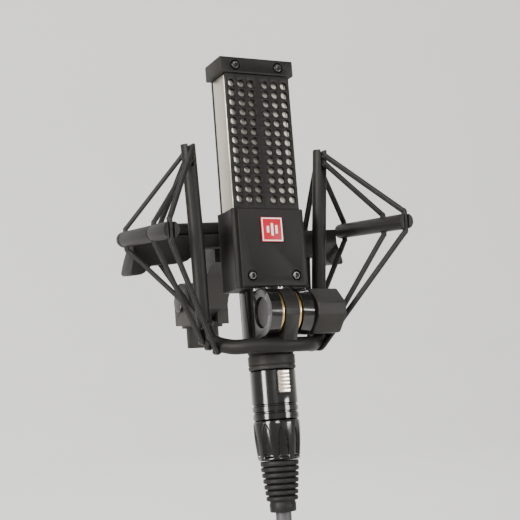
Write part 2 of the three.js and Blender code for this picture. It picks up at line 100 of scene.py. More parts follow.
def mic_frame():
    """x across, z up the microphone, origin in the middle of the top cap's underside."""
    turned = axes_frame(joints["mic_tilt"]["axis"], -Vector(joints["plug_pull"]["axis"]), (0, 0, 0))
    low, high = span("top_cap", turned)
    middle = (low + high) / 2
    return turned @ Matrix.Translation(Vector((middle.x, middle.y, low.z)) * MM)


MIC = mic_frame()
MIC_LEAN = 4.73
CRADLE_AT = Vector((0, -67.2, 49.5))
CRADLE_TURN = MIC.to_3x3().to_4x4() @ Matrix.Rotation(math.radians(MIC_LEAN), 4, "X")
CRADLE = Matrix.Translation(CRADLE_AT * MM) @ CRADLE_TURN
ROW = Matrix.Identity(4)


# ---------- mesh helpers ----------
def mesh_object(vertices, faces):
    mesh = bpy.data.meshes.new("shape")
    mesh.from_pydata([tuple(v) for v in vertices], [], [tuple(f) for f in faces])
    mesh.validate()
    obj = bpy.data.objects.new("shape", mesh)
    bpy.context.scene.collection.objects.link(obj)
    return obj


def settle(obj):
    """Applies the modifiers to the mesh."""
    graph = bpy.context.evaluated_depsgraph_get()
    mesh = bpy.data.meshes.new_from_object(obj.evaluated_get(graph))
    obj.modifiers.clear()
    obj.data = mesh
    return obj


def boolean(base, others, operation):
    for other in others:
        step = base.modifiers.new("boolean", "BOOLEAN")
        step.operation = operation
        step.solver = "EXACT"
        step.object = other
    settle(base)
    for other in others:
        bpy.data.objects.remove(other)
    return base


def cut(base, *others):
    return boolean(base, others, "DIFFERENCE")


def join(base, *others):
    return boolean(base, others, "UNION")


def soften(base, width, segments=3, angle=32):
    bevel = base.modifiers.new("bevel", "BEVEL")
    bevel.width = width
    bevel.segments = segments
    bevel.limit_method = "ANGLE"
    bevel.angle_limit = math.radians(angle)
    return settle(base)


def box(low, high):
    xs, ys, zs = zip(low, high)
    vertices = [(x, y, z) for x in xs for y in ys for z in zs]
    faces = [(0, 1, 3, 2), (4, 6, 7, 5), (0, 4, 5, 1), (2, 3, 7, 6), (0, 2, 6, 4), (1, 5, 7, 3)]
    return mesh_object(vertices, faces)


def block(size, centre):
    half = Vector(size) / 2
    return box(Vector(centre) - half, Vector(centre) + half)


def to_axis(axis, a, b, along):
    """A point of a profile (a, b) swept along an axis."""
    return {"X": (along, a, b), "Y": (a, along, b), "Z": (a, b, along)}[axis]


def prism(points, axis, low, high):
    n = len(points)
    vertices = [to_axis(axis, a, b, k) for k in (low, high) for a, b in points]
    sides = [(i, (i + 1) % n, n + (i + 1) % n, n + i) for i in range(n)]
    obj = mesh_object(vertices, [tuple(range(n - 1, -1, -1)), tuple(range(n, 2 * n))] + sides)
    return face_out(obj)


def face_out(obj):
    mesh = obj.data
    mesh.calc_loop_triangles()
    volume = 0
    for triangle in mesh.loop_triangles:
        a, b, c = (mesh.vertices[i].co for i in triangle.vertices)
        volume += a.dot(b.cross(c))
    if volume < 0:
        mesh.flip_normals()
    return obj


def arc(cx, cy, radius, start, end, steps):
    out = []
    for i in range(steps + 1):
        a = math.radians(start + (end - start) * i / steps)
        out.append((cx + radius * math.cos(a), cy + radius * math.sin(a)))
    return out


def rod(radius, axis, low, high, a=0, b=0, sides=64, dome=0):
    """A round rod along an axis through (a, b), with rounded edges where dome is given."""
    if not dome:
        circle = arc(0, 0, radius, 0, 360 - 360 / sides, sides - 1)
        return prism([(a + p, b + q) for p, q in circle], axis, low, high)
    profile = [(0, low)]
    profile += [(radius - dome + dome * math.sin(t), low + dome * (1 - math.cos(t))) for t in quarter()]
    profile += [(radius - dome + dome * math.cos(t), high - dome * (1 - math.sin(t))) for t in quarter()]
    profile += [(0, high)]
    return lathe(profile, axis, a, b, sides)


def quarter(steps=6):
    return [math.pi / 2 * i / steps for i in range(steps + 1)]


def lathe(profile, axis="Z", a=0, b=0, sides=64, radius_at=None):
    """Turns (radius, along) points about an axis; a profile starts and ends on the axis or closes."""
    closed = profile[0] == profile[-1]
    rows = profile[:-1] if closed else profile
    vertices = []
    index = []
    for r, along in rows:
        row = []
        for i in range(sides):
            if r < 1e-6 and i:
                row.append(row[0])
                continue
            t = 2 * math.pi * i / sides
            shown = radius_at(r, along, t) if radius_at else r
            row.append(len(vertices))
            vertices.append(to_axis(axis, a + shown * math.cos(t), b + shown * math.sin(t), along))
        index.append(row)
    faces = []
    count = len(rows)
    for k in range(count if closed else count - 1):
        low, high = index[k], index[(k + 1) % count]
        for i in range(sides):
            j = (i + 1) % sides
            face = []
            for v in (low[i], low[j], high[j], high[i]):
                if v not in face:
                    face.append(v)
            if len(face) > 2:
                faces.append(face)
    return face_out(mesh_object(vertices, faces))


def smooth_path(points, step):
    """Points every step along a Catmull-Rom curve through the given ones."""
    points = [Vector(p) for p in points]
    ends = [2 * points[0] - points[1], *points, 2 * points[-1] - points[-2]]
    out = [points[0]]
    for k in range(1, len(ends) - 2):
        p0, p1, p2, p3 = ends[k - 1 : k + 3]
        count = max(1, round((p2 - p1).length / step))
        for i in range(1, count + 1):
            t = i / count
            square = 2 * p0 - 5 * p1 + 4 * p2 - p3
            cube = 3 * p1 - p0 - 3 * p2 + p3
            out.append(0.5 * (2 * p1 + (p2 - p0) * t + square * t * t + cube * t**3))
    return out


def sweep(points, radius, sides, radius_at=None):
    """A closed tube along the points; radius_at(distance, angle) may vary the radius."""
    tangent = (points[1] - points[0]).normalized()
    across = tangent.orthogonal().normalized()
    vertices = []
    distance = 0
    for k, p in enumerate(points):
        ahead = points[min(k + 1, len(points) - 1)]
        behind = points[max(k - 1, 0)]
        turned = (ahead - behind).normalized()
        across = (tangent.rotation_difference(turned) @ across).normalized()
        tangent = turned
        up = tangent.cross(across)
        distance += (p - behind).length
        for i in range(sides):
            t = 2 * math.pi * i / sides
            r = radius_at(distance, t) if radius_at else radius
            vertices.append(p + r * (math.cos(t) * across + math.sin(t) * up))
    faces = []
    for k in range(len(points) - 1):
        for i in range(sides):
            j = (i + 1) % sides
            faces.append((k * sides + i, k * sides + j, (k + 1) * sides + j, (k + 1) * sides + i))
    last = (len(points) - 1) * sides
    faces.append(tuple(range(sides - 1, -1, -1)))
    faces.append(tuple(range(last, last + sides)))
    return face_out(mesh_object(vertices, faces))


def place(name, obj, at, body, slot, material, *nodes, angle=35):
    """Moves a shape into the row frame and makes it a piece that rides on a body."""
    obj.data.transform(at @ Matrix.Scale(MM, 4))
    obj.name = name
    obj.data.name = name
    obj.data.materials.clear()
    obj.data.materials.append(material)
    for polygon in obj.data.polygons:
        polygon.use_smooth = True
    obj.data.set_sharp_from_angle(angle=math.radians(angle))
    if body:
        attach(obj, body)
    if nodes:
        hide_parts(*nodes)
    return obj


# ---------- materials ----------
def surface(
    name, colour, metallic, roughness, scale,
    vary=0.2, bump=0.1, stretch=(1, 1, 1), edge=0.0, **sockets
):
    """A surface whose colour, gloss and relief vary with a fine noise; edge lightens the colour on sharp corners,
    a painted highlight on the screw heads' rims.
    """
    material = bpy.data.materials.new(name)
    material.use_nodes = True
    nodes = material.node_tree.nodes
    links = material.node_tree.links
    shader = nodes["Principled BSDF"]
    shader.inputs["Metallic"].default_value = metallic
    for socket, value in sockets.items():
        shader.inputs[socket.replace("_", " ")].default_value = value
    place_at = nodes.new("ShaderNodeTexCoord")
    mapping = nodes.new("ShaderNodeMapping")
    mapping.inputs["Scale"].default_value = stretch
    links.new(place_at.outputs["Object"], mapping.inputs["Vector"])
    grain = nodes.new("ShaderNodeTexNoise")
    grain.inputs["Scale"].default_value = scale
    grain.inputs["Detail"].default_value = 6
    links.new(mapping.outputs["Vector"], grain.inputs["Vector"])
    tone = nodes.new("ShaderNodeMix")
    tone.data_type = "RGBA"
    tone.inputs["A"].default_value = (*[c * (1 - vary) for c in colour], 1)
    tone.inputs["B"].default_value = (*[min(1, c * (1 + vary)) for c in colour], 1)
    links.new(grain.outputs["Fac"], tone.inputs["Factor"])
    colour_out = tone.outputs["Result"]
    # Where edge is given, a lighter grey is mixed in on sharp corners and rims; on the screw heads this is a
    # painted highlight.
    if edge:
        geometry = nodes.new("ShaderNodeNewGeometry")
        corner = nodes.new("ShaderNodeMapRange")
        corner.inputs["From Min"].default_value = 0.52
        corner.inputs["From Max"].default_value = 0.62
        corner.inputs["To Max"].default_value = edge
        links.new(geometry.outputs["Pointiness"], corner.inputs["Value"])
        corner_lightening = nodes.new("ShaderNodeMix")
        corner_lightening.data_type = "RGBA"
        corner_lightening.inputs["B"].default_value = (0.28, 0.27, 0.25, 1)
        links.new(corner.outputs["Result"], corner_lightening.inputs["Factor"])
        links.new(colour_out, corner_lightening.inputs["A"])
        colour_out = corner_lightening.outputs["Result"]
    links.new(colour_out, shader.inputs["Base Color"])
    gloss = nodes.new("ShaderNodeMapRange")
    gloss.inputs["To Min"].default_value = roughness * 0.8
    gloss.inputs["To Max"].default_value = min(1, roughness * 1.2)
    links.new(grain.outputs["Fac"], gloss.inputs["Value"])
    links.new(gloss.outputs["Result"], shader.inputs["Roughness"])
    relief = nodes.new("ShaderNodeBump")
    relief.inputs["Strength"].default_value = bump
    relief.inputs["Distance"].default_value = 0.0002
    links.new(grain.outputs["Fac"], relief.inputs["Height"])
    links.new(relief.outputs["Normal"], shader.inputs["Normal"])
    return material


MATT_BLACK = surface(
    "matt_black_finish", (0.0075, 0.007, 0.0064), 0, 0.5, 2600,
    edge=0.12, bump=0.2, Specular_IOR_Level=0.16,
)
GLOSS_BLACK = surface(
    "gloss_black_lacquer", (0.004, 0.004, 0.004), 0, 0.17, 260,
    bump=0.02, Coat_Weight=0.4, Coat_Roughness=0.1,
)
ROD_BLACK = surface(
    "powder_coated_rod", (0.009, 0.0085, 0.0078), 0, 0.5, 1900,
    edge=0.08, bump=0.35, Specular_IOR_Level=0.2,
)
CAST_BLACK = surface(
    "moulded_black", (0.011, 0.0105, 0.0096), 0, 0.52, 1500,
    edge=0.08, bump=0.4, Specular_IOR_Level=0.2,
)
KNOB_GREY = surface(
    "knob_moulding", (0.02, 0.019, 0.0175), 0, 0.55, 1700,
    edge=0.08, bump=0.35, Specular_IOR_Level=0.2,
)
BRUSHED = surface(
    "brushed_steel_panel", (0.66, 0.62, 0.54), 1, 0.36, 900,
    vary=0.1, bump=0.25, stretch=(6, 6, 0.12),
)
MESH_SILVER = surface("woven_metal_sheet", (0.8, 0.77, 0.7), 0.75, 0.42, 3200, vary=0.15, bump=0.3)
BRASS = surface("brass_washer", (0.62, 0.44, 0.19), 1, 0.3, 900, vary=0.15, bump=0.1)
# edge=0.5 lightens the rims of the screw heads: a painted highlight ring.
STEEL = surface("blackened_steel_screw", (0.045, 0.044, 0.043), 0.8, 0.3, 1200, edge=0.5, bump=0.1)
BRIGHT = surface("nickel_latch", (0.75, 0.68, 0.6), 1, 0.3, 900, vary=0.1, bump=0.1)
BOLT_GREY = surface("dished_bolt_face", (0.05, 0.048, 0.046), 0.3, 0.45, 1400, bump=0.2)
RUBBER = surface("boot_rubber", (0.009, 0.0088, 0.0085), 0, 0.5, 1800, bump=0.3, Specular_IOR_Level=0.2)
STRAP = surface("tie_strap_weave", (0.013, 0.013, 0.014), 0, 0.85, 2200, bump=0.6, Sheen_Weight=0.4)
# vary=0.9 paints the weave's speckled highlights into the colour as a strong light and dark speckle.
ELASTIC = surface(
    "braided_elastic", (0.012, 0.0118, 0.0112), 0, 0.5, 2400,
    vary=0.9, bump=0.8, Specular_IOR_Level=0.22,
)
RED = surface(
    "red_enamel", (0.42, 0.006, 0.02), 0, 0.4, 500,
    vary=0.06, bump=0.03, Specular_IOR_Level=0.2,
)
WHITE = surface("white_enamel", (0.8, 0.79, 0.76), 0, 0.35, 500, vary=0.04, bump=0.03)
MAGNET = surface("nickel_plated_magnet", (0.45, 0.45, 0.47), 1, 0.25, 700, bump=0.05)
FOIL = surface("aluminium_ribbon", (0.8, 0.8, 0.78), 1, 0.35, 2000, bump=0.1)
INSERT = surface("insert_moulding", (0.012, 0.012, 0.013), 0, 0.4, 1200, bump=0.1)
LEAD_GREY = surface("lead_jacket", (0.045, 0.045, 0.05), 0, 0.5, 1500, vary=0.15, bump=0.25)

# ---------- lead ----------
CABLE_R = 3.25
COIL_AT = Vector((-2.9, -71.25, -197.4))
COIL_LAYERS = (47.2, 40.7, 34.2)
COIL_ACROSS = 4
COIL_ENTRY = 45
COIL_TURN_END = 4005
LEAD = [
    (-2.62, -78.05, -63.5), (-2.75, -78.4, -66.5), (-3, -79, -72), (-3.2, -79.6, -77), (-3.45, -80.2, -82),
    (-3.05, -80.75, -92), (-1.75, -80.95, -102), (0.45, -81, -112), (3.5, -81, -121.7),
    (7.4, -81, -131), (12, -81, -140), (15.7, -81, -145.9), (19.9, -81, -151.9), (24.9, -81, -158),
]
TAIL = [(31.3, -54.7, z) for z in (-206, -216, -226, -236, -248)]


def ease(x):
    x = min(1, max(0, x))
    return x * x * (3 - 2 * x)


def coil_points():
    """Four turns across and three deep: each turn keeps to its place, then steps over to the next."""
    places = []
    for layer, radius in enumerate(COIL_LAYERS):
        cells = range(COIL_ACROSS)
        for cell in cells if layer % 2 == 0 else reversed(cells):
            places.append((radius, (cell - (COIL_ACROSS - 1) / 2) * 2 * CABLE_R))
    beside = (COIL_ACROSS / 2 + 0.5) * 2 * CABLE_R + 0.3
    places.append((COIL_LAYERS[-1], beside))
    step_at = [330]
    for k in range(1, len(places) - 2):
        early = k % COIL_ACROSS in (0, COIL_ACROSS - 1)
        step_at.append(step_at[-1] + (300 if early else 360))
    step_at.append(COIL_TURN_END - 30)
    out = []
    for t in range(0, COIL_TURN_END + 1, 9):
        radius, y = places[0]
        for k, start in enumerate(step_at):
            share = ease((t - start + 30) / 60)
            radius += (places[k + 1][0] - places[k][0]) * share
            y += (places[k + 1][1] - places[k][1]) * share
        a = math.radians(COIL_ENTRY - t)
        out.append(COIL_AT + Vector((radius * math.cos(a), y, radius * math.sin(a))))
    return out


def lead_path():
    turns = coil_points()
    run = smooth_path([*LEAD, turns[0]], 2.5)
    tail = smooth_path([turns[-1], *TAIL], 2.5)
    return run[:-1] + turns + tail[1:]


def add_lead():
    points = lead_path()
    curve = bpy.data.curves.new("lead", "CURVE")
    curve.dimensions = "3D"
    curve.bevel_depth = CABLE_R * MM
    curve.bevel_resolution = 5
    curve.use_fill_caps = True
    spline = curve.splines.new("POLY")
    spline.points.add(len(points) - 1)
    for spot, p in zip(spline.points, points):
        spot.co = (*(p * MM), 1)
    spline.use_smooth = True
    curve.materials.append(LEAD_GREY)
    lead = bpy.data.objects.new("lead", curve)
    bpy.context.scene.collection.objects.link(lead)
    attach(lead, "plug")
    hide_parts("cable_run", "cable_coil", "cable_tail")
    return lead


# ---------- plug ----------
PLUG_R = 9.5
PLUG_SHOULDER = -125.8
BOOT_LENGTH = 20.6
CHUCK_LENGTH = 16.4
TOUCH = 0.28                  # closes the gap that the CAD pieces leave between them


def boot_shape(top):
    """Ribbed rubber boot hanging from top, thin end down."""
    end = top - BOOT_LENGTH
    profile = [(3.55, end + 0.5), (3.9, end), (5.1, end + 0.05)]
    profile += [(5.4, end + 0.5), (5.45, end + 3.4), (5.2, end + 3.8)]
    ribs = 6
    low = end + 4.2
    pitch = (top - 2.2 - low) / ribs
    for i in range(ribs):
        r = 6.55 + 1.3 * i / (ribs - 1)
        z = low + i * pitch
        profile += [(r - 1.3, z), (r - 1.25, z + 0.2)]
        profile += [(r - 0.6 + 0.6 * math.sin(t), z + 0.35 + 0.6 * (1 - math.cos(t))) for t in quarter()]
        profile += [(r - 0.6 + 0.6 * math.cos(t), z + pitch - 0.75 + 0.6 * math.sin(t)) for t in quarter()]
        profile += [(r - 1.25, z + pitch - 0.1)]
    profile += [(7.2, top - 2.1), (7.75, top - 1.9), (7.9, top - 1.5), (7.9, top - 0.2), (7.7, top)]
    profile += [(3.55, top), (3.55, end + 0.5)]
    return lathe(profile, sides=72)


def flute_depth(angle, up, flutes, width, low, high):
    """Depth from 0 to 1 of a ring of hollows, each a slot with a pointed top."""
    pitch = 2 * math.pi / flutes
    off = abs((angle + pitch / 2) % pitch - pitch / 2) / width
    rise = (up - low) / (high - low)
    if rise < 0 or rise > 1:
        return 0
    open_to = math.sqrt(max(0, 1 - rise**2.6))
    inside = min(1, max(0, (open_to - off) / 0.24))
    foot = min(1, rise / 0.06)
    return ease(inside) * foot


def chuck_shape(top):
    """Tapered grip ring with eight pointed hollows."""
    low = top - CHUCK_LENGTH
    levels = [low + 15.9 * i / 60 for i in range(61)]

    def outer(z):
        up = (z - low) / 16.1
        return 8.55 + 1.1 * math.sin(math.pi / 2 * min(1, up * 1.15)) - 0.25 * max(0, up - 0.93) / 0.07

    def relief(r, z, t):
        if r < 7.5:
            return r
        return r - 1.15 * flute_depth(t + 0.2, z, 8, 0.27, low + 0.9, top - 1.4)

    profile = [(4.2, low), (8.1, low)] + [(outer(z), z) for z in levels[1:]]
    profile += [(9.1, top - 0.3), (8.7, top), (4.2, top), (4.2, low)]
    return lathe(profile, sides=320, radius_at=relief)


def pin_places():
    return [(3.6 * math.cos(math.radians(a)), 3.6 * math.sin(math.radians(a))) for a in (-90, 30, 150)]


def shell_outline(low, high):
    """Outside of a plug shell, with rounded lips and two turned grooves near its lower end."""
    profile = [(PLUG_R - 0.35, low), (PLUG_R, low + 0.35)]
    for at in (2.75, 5.75):
        profile += [(PLUG_R, low + at - 0.35), (PLUG_R - 0.45, low + at), (PLUG_R - 0.45, low + at + 0.35)]
        profile += [(PLUG_R, low + at + 0.7)]
    profile += [(PLUG_R, high - 0.35), (PLUG_R - 0.35, high)]
    return profile


def add_plug():
    low, high = span("plug_shell", MIC)
    profile = [(7, low.z), *shell_outline(low.z, PLUG_SHOULDER)]
    profile += [(7.95, PLUG_SHOULDER), (7.95, high.z), (7, high.z), (7, low.z)]
    latch_low, latch_high = span("latch_button", MIC)
    pocket = box((-2.75, -13, latch_low.z - 0.45), (2.75, -6.6, latch_high.z + 0.45))
    shell = soften(cut(lathe(profile, sides=96), pocket), 0.12, 2, 60)
    place("plug_shell_fine", shell, MIC, "plug", "gloss_black", GLOSS_BLACK, "plug_shell")

    latch = box((latch_low.x, latch_low.y, latch_low.z), (latch_high.x, latch_high.y, latch_high.z))
    face = latch_low.y
    ribs = []
    for i in range(5):
        z = latch_low.z + 1.2 + 1.5 * i
        groove = [(face - 0.6, z - 0.1), (face + 0.75, z + 0.3), (face - 0.6, z + 0.9)]
        ribs.append(prism(groove, "X", -3, 3))
    latch = soften(cut(latch, *ribs), 0.12, 2)
    place("latch_button_fine", latch, MIC, "latch", "steel", BRIGHT, "latch_button")

    chuck_top = span("plug_chuck", MIC)[1].z + TOUCH
    chuck = chuck_shape(chuck_top)
    place("plug_chuck_fine", chuck, MIC, "plug", "gloss_black", GLOSS_BLACK, "plug_chuck", angle=50)
    boot_top = span("plug_boot", MIC)[1].z + TOUCH
    boot = boot_shape(boot_top)
    place("plug_boot_fine", boot, MIC, "plug", "rubber_black", RUBBER, "plug_boot", angle=60)


def add_far_plug():
    low, high = span("far_plug", ROW)
    middle = (low + high) / 2
    over = Matrix.Rotation(math.pi, 4, "X")
    upside_down = Matrix.Translation(Vector((middle.x, middle.y, high.z)) * MM) @ over
    length = high.z - low.z
    chuck_end = CHUCK_LENGTH
    floor = length - 16.5
    profile = [(0, chuck_end), *shell_outline(chuck_end, length), (8, length), (8, floor), (0, floor)]
    shell = lathe(profile, sides=96)
    pins = [rod(1.2, "Z", length - 17, length - 3, x, y, 24, 0.6) for x, y in pin_places()]
    shell = place("far_plug_shell", shell, upside_down, "plug", "gloss_black", GLOSS_BLACK, "far_plug")
    pins = place("far_plug_pins", join(pins[0], *pins[1:]), upside_down, "plug", "brass", BRASS)
    chuck = chuck_shape(chuck_end)
    chuck = place("far_plug_chuck", chuck, upside_down, "plug", "gloss_black", GLOSS_BLACK, angle=50)
    boot_high = span("far_boot", ROW)[1].z
    boot_at = Matrix.Translation(Vector((middle.x, middle.y, boot_high)) * MM) @ over
    boot = boot_shape(BOOT_LENGTH)
    boot = place("far_boot_fine", boot, boot_at, "plug", "rubber_black", RUBBER, "far_boot", angle=60)
    return [shell, pins, chuck, boot]


def rounded(width, height, radius, steps=8):
    """Outline of a rectangle with round corners, about the origin."""
    out = []
    for sx, sy, start in ((1, 1, 0), (-1, 1, 90), (-1, -1, 180), (1, -1, 270)):
        out += arc(sx * (width / 2 - radius), sy * (height / 2 - radius), radius, start, start + 90, steps)
    return out


def add_coil_tie():
    """Strap round the coil's bundle: its section lies in the plane of the bundle."""
    deep = COIL_LAYERS[0] - COIL_LAYERS[-1] + 2 * CABLE_R
    across = COIL_ACROSS * 2 * CABLE_R
    middle = (COIL_LAYERS[0] + COIL_LAYERS[-1]) / 2
    turn = Matrix.Rotation(math.radians(70), 4, "Y")
    at = Matrix.Translation(COIL_AT * MM) @ turn @ Matrix.Translation(Vector((0, 0, middle)) * MM)
    outer = prism(rounded(across + 2.8, deep + 2.8, 4.4), "X", -7.5, 7.5)
    inner = prism(rounded(across + 0.4, deep + 0.4, 3.2), "X", -9, 9)
    flap = prism(rounded(13, 1, 0.45), "X", -6.6, 6.6)
    flap.data.transform(Matrix.Translation((0, 2, deep / 2 + 1.6)))
    strap = soften(join(cut(outer, inner), flap), 0.25, 2)
    return place("coil_tie_strap", strap, at, "plug", "rubber_black", STRAP, "coil_tie")


lead = add_lead()
add_plug()
far_pieces = add_far_plug()
tie = add_coil_tie()

# ---------- microphone head ----------
HOLE_R = 1.55
HOLE_SIDES = 24
COLUMN_PITCH = 4.5
CENTRE_PITCH = 6.72
ROW_PITCH = 4.16
FIRST_ROW = -4.5
HOLE_ROWS = 13
BEVEL = 0.35
HEAD_INSIDE = 5.9
CAP_SCREW_X = 10.1
BLOCK_SCREW_X = 10.2
BLOCK_SCREW_Z = -87.2


def add_top_cap():
    low, high = span("top_cap", MIC)
    cap = box(low, high)
    recess = box((-13, -5.5, -2), (13, 5.5, 4))
    holes = [
        rod(2.15, "Y", s * high.y - 1.3, s * high.y + 1.3, x, high.z / 2, 40)
        for s in (-1, 1)
        for x in (-CAP_SCREW_X, CAP_SCREW_X)
    ]
    cap = soften(cut(cap, recess, *holes), BEVEL)
    place("top_cap_fine", cap, MIC, "microphone", "matt_black", MATT_BLACK, "top_cap")


def hole_columns():
    half = (CENTRE_PITCH - COLUMN_PITCH) / 2
    return [(k - 2.5) * COLUMN_PITCH + (half if k > 2 else -half) for k in range(6)]


def grille_plate(low, high, face):
    """A plate with rows of chamfered holes, made cell by cell; face is the Y of its outer side."""
    columns = hole_columns()
    rows = [FIRST_ROW - k * ROW_PITCH for k in range(HOLE_ROWS)]
    xs = [low.x, *[(a + b) / 2 for a, b in zip(columns, columns[1:])], high.x]
    zs = [high.z, *[(a + b) / 2 for a, b in zip(rows, rows[1:])], low.z]
    back = low.y + high.y - face
    inward = 1 if back > face else -1
    chamfer = 0.22
    layers = [(HOLE_R + chamfer, face), (HOLE_R + 0.06, face + inward * 0.1)]
    layers += [(HOLE_R, face + inward * chamfer), (HOLE_R, back)]
    vertices = []
    faces = []

    def add(x, y, z):
        vertices.append((x, y, z))
        return len(vertices) - 1

    front_grid = [[add(x, face, z) for z in zs] for x in xs]
    back_grid = [[add(x, back, z) for z in zs] for x in xs]
    quarter_sides = HOLE_SIDES // 4
    for i, x in enumerate(columns):
        for j, z in enumerate(rows):
            rings = []
            for radius, y in layers:
                rings.append(
                    [
                        add(x + radius * math.cos(t), y, z + radius * math.sin(t))
                        for t in (2 * math.pi * (k + 0.5) / HOLE_SIDES for k in range(HOLE_SIDES))
                    ]
                )
            for near, far in zip(rings, rings[1:]):
                for k in range(HOLE_SIDES):
                    n = (k + 1) % HOLE_SIDES
                    faces.append((near[k], near[n], far[n], far[k]))
            for grid, ring, flip in ((front_grid, rings[0], False), (back_grid, rings[-1], True)):
                corners = [grid[i + 1][j], grid[i][j], grid[i][j + 1], grid[i + 1][j + 1]]
                for q, corner in enumerate(corners):
                    first = q * quarter_sides
                    arc_points = [ring[first + k] for k in range(quarter_sides)]
                    after = ring[(first + quarter_sides) % HOLE_SIDES]
                    fan = [(corner, b, a) for a, b in zip(arc_points, arc_points[1:])]
                    fan.append((corner, corners[(q + 1) % 4], after, arc_points[-1]))
                    faces += [tuple(reversed(f)) for f in fan] if flip else fan
    last_x = len(xs) - 1
    last_z = len(zs) - 1

    def edge_face(i, j, m, n):
        faces.append((front_grid[i][j], front_grid[m][n], back_grid[m][n], back_grid[i][j]))

    for i in range(last_x):
        edge_face(i, 0, i + 1, 0)
        edge_face(i + 1, last_z, i, last_z)
    for j in range(last_z):
        edge_face(0, j + 1, 0, j)
        edge_face(last_x, j, last_x, j + 1)
    obj = mesh_object(vertices, faces)
    turn_faces_out(obj)
    return obj


def turn_faces_out(obj):
    """Makes all faces of a closed mesh look the same way, outward."""
    work = bmesh.new()
    work.from_mesh(obj.data)
    bmesh.ops.recalc_face_normals(work, faces=work.faces)
    work.to_mesh(obj.data)
    work.free()


def add_grilles():
    for node, outer in (("front_grille", 0), ("rear_grille", 1)):
        low, high = span(node, MIC)
        plate = grille_plate(low, high, high.y if outer else low.y)
        plate = soften(plate, 0.2, 2, 80)
        place(node + "_fine", plate, MIC, "microphone", "matt_black", MATT_BLACK, node)


def add_side_panels():
    for node in ("side_panel_left", "side_panel_right"):
        low, high = span(node, MIC)
        panel = soften(box(low, high), 0.3)
        place(node + "_fine", panel, MIC, "microphone", "brushed_panel", BRUSHED, node)


def add_mesh_sheets():
    """Dished sheets behind the holes, with a fine woven relief."""
    for node, s in (("front_mesh", -1), ("rear_mesh", 1)):
        low, high = span(node, MIC)
        near = HEAD_INSIDE - 0.15
        across = 26
        up = 56
        vertices = []
        for side in (0, 1):
            for i in range(across + 1):
                x = low.x + (high.x - low.x) * i / across
                dish = 1.15 * (1 - (2 * x / (high.x - low.x)) ** 2)
                for j in range(up + 1):
                    z = low.z + (high.z - low.z) * j / up
                    vertices.append((x, s * (near - dish - 0.5 * side), z))
        n = (across + 1) * (up + 1)
        faces = []
        for i in range(across):
            for j in range(up):
                a = i * (up + 1) + j
                b = a + up + 1
                faces += [(a, b, b + 1, a + 1), (n + a, n + a + 1, n + b + 1, n + b)]
        for j in range(up):
            right = across * (up + 1) + j
            faces += [(j, j + 1, n + j + 1, n + j), (right + 1, right, n + right, n + right + 1)]
        for i in range(across):
            a = i * (up + 1)
            b = a + up + 1
            faces += [(b, a, n + a, n + b), (a + up, b + up, n + b + up, n + a + up)]
        sheet = mesh_object(vertices, faces)
        turn_faces_out(sheet)
        place(node + "_fine", sheet, MIC, "microphone", "mesh_silver", MESH_SILVER, node)


def block_outline(w, d):
    """Half-width w and half-depth d, with a broad hollow flute down each side."""
    flute = 0.8
    steps = 24
    right = []
    for i in range(steps + 1):
        t = 2 * i / steps - 1
        right.append((w - flute * (1 - t * t), t * (d - 1.2)))
    half = [(w - 1, -d), *right, (w - 1, d)]
    return half + [(-x, -y) for x, y in half]


def add_lower_block():
    low, high = span("lower_block", MIC)
    body = prism(block_outline(high.x, high.y), "Z", low.z, high.z)
    hollow = box((-13, -5.7, low.z + 2), (13, 5.7, high.z + 2))
    body = soften(cut(body, hollow), BEVEL)
    place("lower_block_fine", body, MIC, "microphone", "matt_black", MATT_BLACK, "lower_block")
    for node in ("block_plate_front", "block_plate_rear"):
        low, high = span(node, MIC)
        xs = (-BLOCK_SCREW_X, BLOCK_SCREW_X)
        holes = [rod(2.1, "Y", low.y - 1, high.y + 1, x, BLOCK_SCREW_Z, 40) for x in xs]
        plate = soften(cut(box(low, high), *holes), 0.3)
        place(node + "_fine", plate, MIC, "microphone", "matt_black", MATT_BLACK, node)


def add_emblem():
    """A plain red square with a thin white frame and three upright bars."""
    low, high = span("emblem", MIC)
    plate = soften(box(low, high), 0.2)
    place("emblem_plate", plate, MIC, "microphone", "emblem_red", RED, "emblem")
    middle = (low + high) / 2
    face = low.y
    width = high.x - low.x
    height = high.z - low.z
    ring = box((low.x + 0.3, face - 0.06, low.z + 0.3), (high.x - 0.3, face + 0.1, high.z - 0.3))
    gap = box((low.x + 0.75, face - 1, low.z + 0.75), (high.x - 0.75, face + 1, high.z - 0.75))
    bars = [
        block((width * 0.1, 0.16, height * tall), (middle.x + width * at, face + 0.02, middle.z))
        for at, tall in ((-0.2, 0.26), (0, 0.5), (0.2, 0.34))
    ]
    place("emblem_lines", join(cut(ring, gap), *bars), MIC, "microphone", "emblem_red", WHITE)


def add_screws():
    for row in ("cap", "block"):
        for face, s in (("front", -1), ("rear", 1)):
            for hand in ("left", "right"):
                node = f"{row}_screw_{face}_{hand}"
                low, high = span(node, MIC)
                middle = (low + high) / 2
                outer = low.y if s < 0 else high.y
                inner = high.y if s < 0 else low.y
                head = rod(1.7, "Y", min(inner, outer), max(inner, outer), middle.x, middle.z, 48, 0.3)
                hexagon = arc(middle.x, middle.z, 0.95, 0, 300, 5)
                socket = prism(hexagon, "Y", outer - 0.8, outer + 0.8)
                head = soften(cut(head, socket), 0.06, 2, 50)
                place(node + "_fine", head, MIC, "microphone", "steel", STEEL, node)


# ---------- stem, swivel, collar ----------
PIVOT_BORE_R = 2.9
KNOB_HALF = 9.2
KNOB_CORNER = 2.6
KNOB_BORE_END = 14.6
WASHER_R = (3.1, 8.9)
EAR_R = 9.7
EAR_IN = 4.8
EAR_OUT = 9.6
AXIS_Y = -13.4
AXIS_Z = -103.1
STEM_R = 11.4


